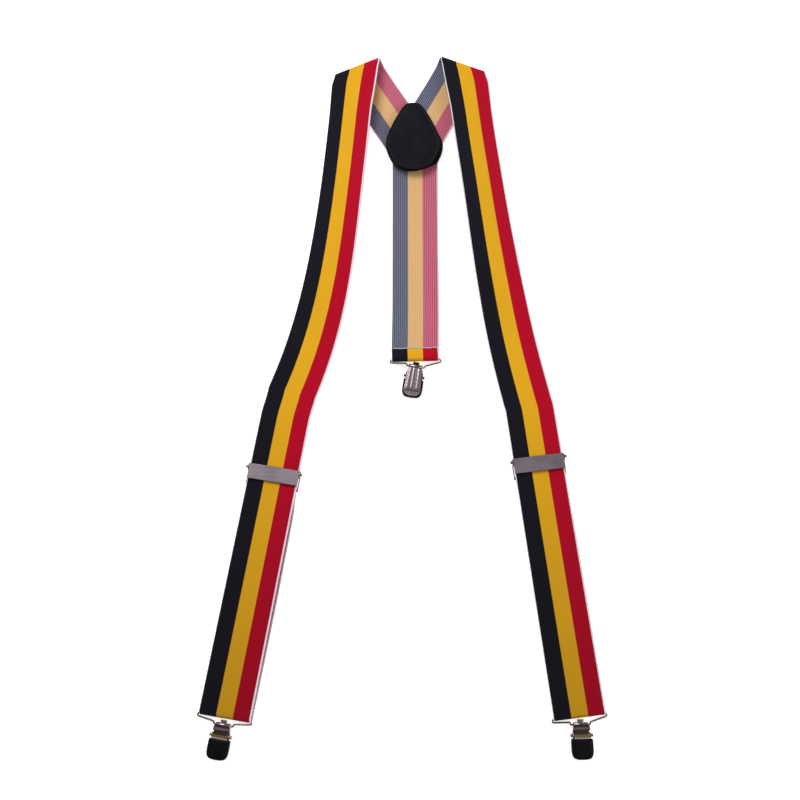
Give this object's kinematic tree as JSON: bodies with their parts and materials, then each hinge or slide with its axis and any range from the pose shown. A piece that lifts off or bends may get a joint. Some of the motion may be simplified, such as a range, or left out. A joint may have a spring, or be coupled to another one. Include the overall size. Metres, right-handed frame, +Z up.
{
  "type": "clip-on suspenders",
  "caption": "Elastic Y-back trouser suspenders with striped webbing, a leather back yoke, metal length sliders and spring clips on wire bails.",
  "frame": {"origin": "centre of the bounding box at the height of the table that the suspenders lie on", "axes": "+Y towards the shoulder folds, +X to the right as seen from above with the front clips nearest, +Z up from the table"},
  "size_m": [0.2898, 0.5493, 0.017],
  "materials": {
    "webbing": "woven elastic with three lengthwise stripes, black, yellow and red, and white selvedges; the wrong side is paler and ribbed",
    "yoke_leather": "smooth near-black leather, fine grain, slightly glossy, cut edges",
    "yoke_thread": "black lockstitch thread",
    "strap_thread": "pale grey sewing thread",
    "slider_plate": "brushed along the plate, satin",
    "bright_steel": "bright plated wire and sheet",
    "clip_nickel": "polished nickel plate",
    "spring_steel": "bare drawn spring wire",
    "jaw_plastic": "black moulded plastic, faint texture",
    "pad_plastic": "black moulded plastic, ribbed"
  },
  "bodies": {
    "harness": {"yoke_outer_leather": "yoke_leather", "yoke_inner_leather": "yoke_leather", "yoke_stitching": "yoke_thread", "rear_strap": "webbing", "left_back_branch": "webbing", "left_shoulder_fold": "webbing", "left_chest_run": "webbing", "left_lower_run": "webbing", "right_back_branch": "webbing", "right_shoulder_fold": "webbing", "right_chest_run": "webbing", "right_lower_run": "webbing"},
    "left_loop": {"left_bail_wrap": "webbing", "left_return_run": "webbing"},
    "left_slider": {"left_slider_frame": "bright_steel", "left_slider_pin": "bright_steel", "left_slider_wrap": "webbing", "left_slider_stitching": "strap_thread"},
    "left_lever": {"left_slider_lever": "slider_plate"},
    "left_bail": {"left_bail_wire": "bright_steel"},
    "left_clip": {"left_clip_base": "clip_nickel", "left_clip_pin": "clip_nickel", "left_clip_spring": "spring_steel", "left_base_pad": "pad_plastic"},
    "left_jaw": {"left_clip_lever": "clip_nickel", "left_jaw_cover": "jaw_plastic"},
    "right_loop": {"right_bail_wrap": "webbing", "right_return_run": "webbing"},
    "right_slider": {"right_slider_frame": "bright_steel", "right_slider_pin": "bright_steel", "right_slider_wrap": "webbing", "right_slider_stitching": "strap_thread"},
    "right_lever": {"right_slider_lever": "slider_plate"},
    "right_bail": {"right_bail_wire": "bright_steel"},
    "right_clip": {"right_clip_base": "clip_nickel", "right_clip_pin": "clip_nickel", "right_clip_spring": "spring_steel", "right_base_pad": "pad_plastic"},
    "right_jaw": {"right_clip_lever": "clip_nickel", "right_jaw_cover": "jaw_plastic"},
    "rear_loop": {"rear_bail_wrap": "webbing", "rear_stitching": "strap_thread"},
    "rear_bail": {"rear_bail_wire": "bright_steel"},
    "rear_clip": {"rear_clip_base": "clip_nickel", "rear_clip_pin": "clip_nickel", "rear_clip_spring": "spring_steel", "rear_base_pad": "pad_plastic"},
    "rear_jaw": {"rear_clip_lever": "clip_nickel", "rear_jaw_cover": "jaw_plastic"}
  },
  "joints": [
    {"name": "left_strap_length", "type": "slide", "parent": "harness", "child": "left_loop", "axis": [-0.1676, -0.9859, 0], "range_m": [-0.018, 0.1], "deforming": ["left_lower_run", "left_return_run"]},
    {"name": "left_slider_travel", "type": "slide", "parent": "left_loop", "child": "left_slider", "axis": [-0.1676, -0.9859, 0], "range_m": [-0.018, 0.1], "deforming": ["left_return_run"]},
    {"name": "left_lever_lift", "type": "hinge", "parent": "left_slider", "child": "left_lever", "pos_m": [-0.09443, -0.07016, 0.0065], "axis": [-0.9859, 0.1676, 0], "range_deg": [0, 30]},
    {"name": "left_bail_swing", "type": "hinge", "parent": "left_loop", "child": "left_bail", "pos_m": [-0.12396, -0.24387, 0.00265], "axis": [-0.9859, 0.1676, 0], "range_deg": [0, 90]},
    {"name": "left_clip_swing", "type": "hinge", "parent": "left_bail", "child": "left_clip", "pos_m": [-0.12516, -0.25089, 0.0016], "axis": [-0.9859, 0.1676, 0], "range_deg": [0, 45]},
    {"name": "left_jaw_open", "type": "hinge", "parent": "left_clip", "child": "left_jaw", "pos_m": [-0.12636, -0.25799, 0.0042], "axis": [-0.9859, 0.1676, 0], "range_deg": [0, 22], "stiffness_Nm_per_rad": 0.05, "springref_deg": -22.92, "deforming": ["left_clip_spring"]},
    {"name": "right_strap_length", "type": "slide", "parent": "harness", "child": "right_loop", "axis": [0.1253, -0.9921, 0], "range_m": [-0.018, 0.1], "deforming": ["right_lower_run", "right_return_run"]},
    {"name": "right_slider_travel", "type": "slide", "parent": "right_loop", "child": "right_slider", "axis": [0.1253, -0.9921, 0], "range_m": [-0.018, 0.1], "deforming": ["right_return_run"]},
    {"name": "right_lever_lift", "type": "hinge", "parent": "right_slider", "child": "right_lever", "pos_m": [0.10097, -0.06176, 0.0065], "axis": [-0.9921, -0.1253, 0], "range_deg": [0, 30]},
    {"name": "right_bail_swing", "type": "hinge", "parent": "right_loop", "child": "right_bail", "pos_m": [0.12392, -0.24342, 0.00265], "axis": [-0.9921, -0.1253, 0], "range_deg": [0, 90]},
    {"name": "right_clip_swing", "type": "hinge", "parent": "right_bail", "child": "right_clip", "pos_m": [0.12482, -0.25048, 0.0016], "axis": [-0.9998, -0.0209, 0], "range_deg": [0, 45]},
    {"name": "right_jaw_open", "type": "hinge", "parent": "right_clip", "child": "right_jaw", "pos_m": [0.12497, -0.25768, 0.0042], "axis": [-0.9998, -0.0209, 0], "range_deg": [0, 22], "stiffness_Nm_per_rad": 0.05, "springref_deg": -22.92, "deforming": ["right_clip_spring"]},
    {"name": "rear_stretch", "type": "slide", "parent": "harness", "child": "rear_loop", "axis": [0, -1, 0], "range_m": [0, 0.06], "stiffness_N_per_m": 60, "deforming": ["rear_strap"]},
    {"name": "rear_bail_swing", "type": "hinge", "parent": "rear_loop", "child": "rear_bail", "pos_m": [0.01017, 0.01734, 0.005], "axis": [-0.9997, -0.0262, 0], "range_deg": [0, 90]},
    {"name": "rear_clip_swing", "type": "hinge", "parent": "rear_bail", "child": "rear_clip", "pos_m": [0.01036, 0.01019, 0.0058], "axis": [-0.9877, 0.1564, 0], "range_deg": [0, 45]},
    {"name": "rear_jaw_open", "type": "hinge", "parent": "rear_clip", "child": "rear_jaw", "pos_m": [0.00924, 0.00308, 0.0032], "axis": [0.9877, -0.1564, 0], "range_deg": [0, 22], "stiffness_Nm_per_rad": 0.05, "springref_deg": -22.92, "deforming": ["rear_clip_spring"]}
  ],
  "couplings": [
    {"joint": "left_slider_travel", "follows": "left_strap_length", "ratio": 1},
    {"joint": "right_slider_travel", "follows": "right_strap_length", "ratio": 1}
  ]
}
